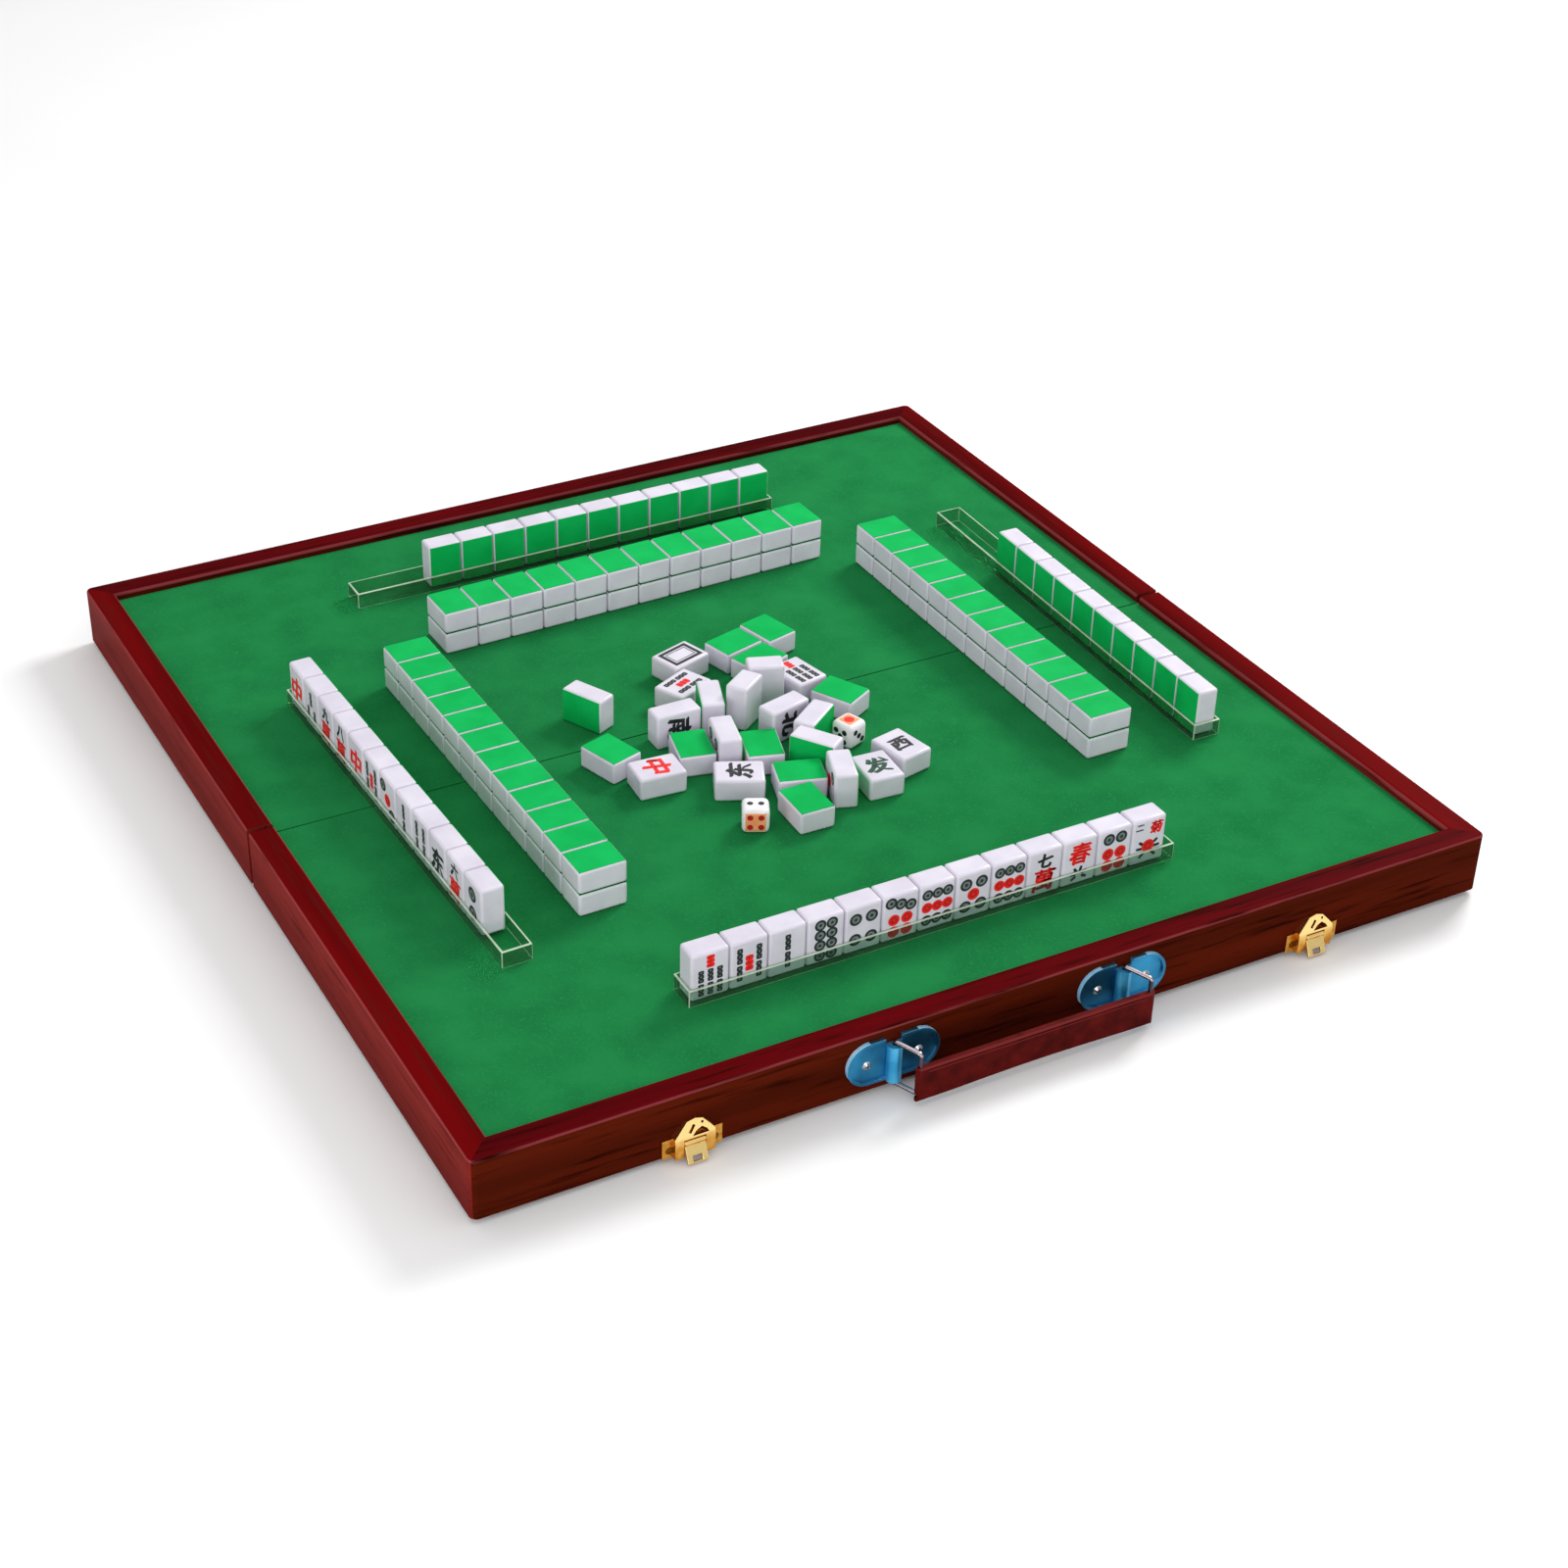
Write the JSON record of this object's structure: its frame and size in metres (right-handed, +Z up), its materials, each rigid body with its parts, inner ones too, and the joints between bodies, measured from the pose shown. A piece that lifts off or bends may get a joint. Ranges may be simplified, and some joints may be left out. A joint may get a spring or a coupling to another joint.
{
  "type": "portable mahjong table",
  "caption": "Folding felt-topped mahjong table of two hinged shallow trays with latches, a carrying handle, clear racks, tile walls, a loose heap and dice.",
  "frame": {"origin": "under the middle of the whole object, on the plane of the pad bottoms", "axes": "+X to the right along the fold line, +Y from the handle side towards the far side, +Z up from the ground"},
  "size_m": [0.59, 0.6224, 0.0625],
  "materials": {
    "cherry_wood": "glossy lacquer",
    "plywood": "satin",
    "green_felt": "matt",
    "hinge_brass": "satin",
    "screw_steel": "satin",
    "pad_rubber": "matt",
    "gold_plate": "polished",
    "blue_chrome": "polished",
    "ring_chrome": "polished",
    "leatherette": "satin",
    "clear_acrylic": "clear",
    "tile_white": "polished",
    "tile_green": "polished",
    "die_white": "polished"
  },
  "bodies": {
    "near_tray": {"near_front_rail": "cherry_wood", "near_left_rail": "cherry_wood", "near_right_rail": "cherry_wood", "near_fold_rail": "cherry_wood", "near_board": "plywood", "near_felt": "green_felt", "hinge_leaves_near": "hinge_brass", "hinge_pins": "screw_steel", "hinge_screws_near": "screw_steel", "feet_near": "pad_rubber", "latch_plates": "gold_plate", "latch_pins": "gold_plate", "latch_screws": "gold_plate", "bracket_left": "blue_chrome", "bracket_right": "blue_chrome", "bracket_screws": "screw_steel"},
    "far_tray": {"far_back_rail": "cherry_wood", "far_left_rail": "cherry_wood", "far_right_rail": "cherry_wood", "far_fold_rail": "cherry_wood", "far_board": "plywood", "far_felt": "green_felt", "hinge_leaves_far": "hinge_brass", "hinge_screws_far": "screw_steel", "feet_far": "pad_rubber", "catches": "gold_plate", "catch_screws": "gold_plate"},
    "left_latch": {"latch_lever_left": "gold_plate"},
    "right_latch": {"latch_lever_right": "gold_plate"},
    "left_ring": {"ring_left": "ring_chrome"},
    "handle": {"handle_strap": "leatherette"},
    "right_ring": {"ring_right": "ring_chrome"},
    "front_rack_set": {"rack_front": "clear_acrylic", "rack_tiles_front": "tile_white", "rack_backs_front": "tile_green"},
    "left_rack_set": {"rack_left": "clear_acrylic", "rack_tiles_left": "tile_white", "rack_backs_left": "tile_green"},
    "right_rack_set": {"rack_right": "clear_acrylic", "rack_tiles_right": "tile_white", "rack_backs_right": "tile_green"},
    "far_rack_set": {"rack_far": "clear_acrylic", "rack_tiles_far": "tile_white", "rack_backs_far": "tile_green"},
    "left_wall_set": {"wall_tiles_left": "tile_white", "wall_backs_left": "tile_green"},
    "right_wall_set": {"wall_tiles_right": "tile_white", "wall_backs_right": "tile_green"},
    "far_wall_set": {"wall_tiles_far": "tile_white", "wall_backs_far": "tile_green"},
    "heap_set": {"heap_tiles": "tile_white", "heap_backs": "tile_green"},
    "first_die": {"die_a": "die_white"},
    "second_die": {"die_b": "die_white"}
  },
  "joints": [
    {"name": "tray_fold", "type": "hinge", "parent": "near_tray", "child": "far_tray", "pos_m": [0, 0.00725, 0.0015], "axis": [-1, 0, 0], "range_deg": [0, 180]},
    {"name": "left_latch_swing", "type": "hinge", "parent": "near_tray", "child": "left_latch", "pos_m": [-0.18202, -0.29525, 0.011], "axis": [-1, 0, 0], "range_deg": [-24, 100]},
    {"name": "right_latch_swing", "type": "hinge", "parent": "near_tray", "child": "right_latch", "pos_m": [0.18202, -0.29525, 0.011], "axis": [-1, 0, 0], "range_deg": [-24, 100]},
    {"name": "left_ring_swing", "type": "hinge", "parent": "near_tray", "child": "left_ring", "pos_m": [-0.0724, -0.29415, 0.01815], "axis": [0, 0, 1], "range_deg": [-67.5, 22.5]},
    {"name": "handle_swing", "type": "hinge", "parent": "left_ring", "child": "handle", "pos_m": [-0.06635, -0.30875, 0.01815], "axis": [0, 0, 1], "range_deg": [-22.5, 67.5]},
    {"name": "right_ring_swing", "type": "hinge", "parent": "near_tray", "child": "right_ring", "pos_m": [0.0616, -0.29415, 0.01815], "axis": [0, 0, 1], "range_deg": [-67.5, 22.5]},
    {"name": "front_rack_lift", "type": "slide", "parent": "near_tray", "child": "front_rack_set", "axis": [0, 0, 1], "range_m": [0, 0.06]},
    {"name": "left_rack_lift", "type": "slide", "parent": "near_tray", "child": "left_rack_set", "axis": [0, 0, 1], "range_m": [0, 0.06]},
    {"name": "right_rack_lift", "type": "slide", "parent": "near_tray", "child": "right_rack_set", "axis": [0, 0, 1], "range_m": [0, 0.06]},
    {"name": "far_rack_lift", "type": "slide", "parent": "far_tray", "child": "far_rack_set", "axis": [0, 0, 1], "range_m": [0, 0.06]},
    {"name": "left_wall_lift", "type": "slide", "parent": "near_tray", "child": "left_wall_set", "axis": [0, 0, 1], "range_m": [0, 0.06]},
    {"name": "right_wall_lift", "type": "slide", "parent": "near_tray", "child": "right_wall_set", "axis": [0, 0, 1], "range_m": [0, 0.06]},
    {"name": "far_wall_lift", "type": "slide", "parent": "far_tray", "child": "far_wall_set", "axis": [0, 0, 1], "range_m": [0, 0.06]},
    {"name": "heap_lift", "type": "slide", "parent": "near_tray", "child": "heap_set", "axis": [0, 0, 1], "range_m": [0, 0.06]},
    {"name": "first_die_lift", "type": "slide", "parent": "near_tray", "child": "first_die", "axis": [0, 0, 1], "range_m": [0, 0.06]},
    {"name": "second_die_lift", "type": "slide", "parent": "near_tray", "child": "second_die", "axis": [0, 0, 1], "range_m": [0, 0.06]}
  ],
  "couplings": [
    {"joint": "handle_swing", "follows": "left_ring_swing", "ratio": -1},
    {"joint": "right_ring_swing", "follows": "left_ring_swing", "ratio": 1}
  ]
}
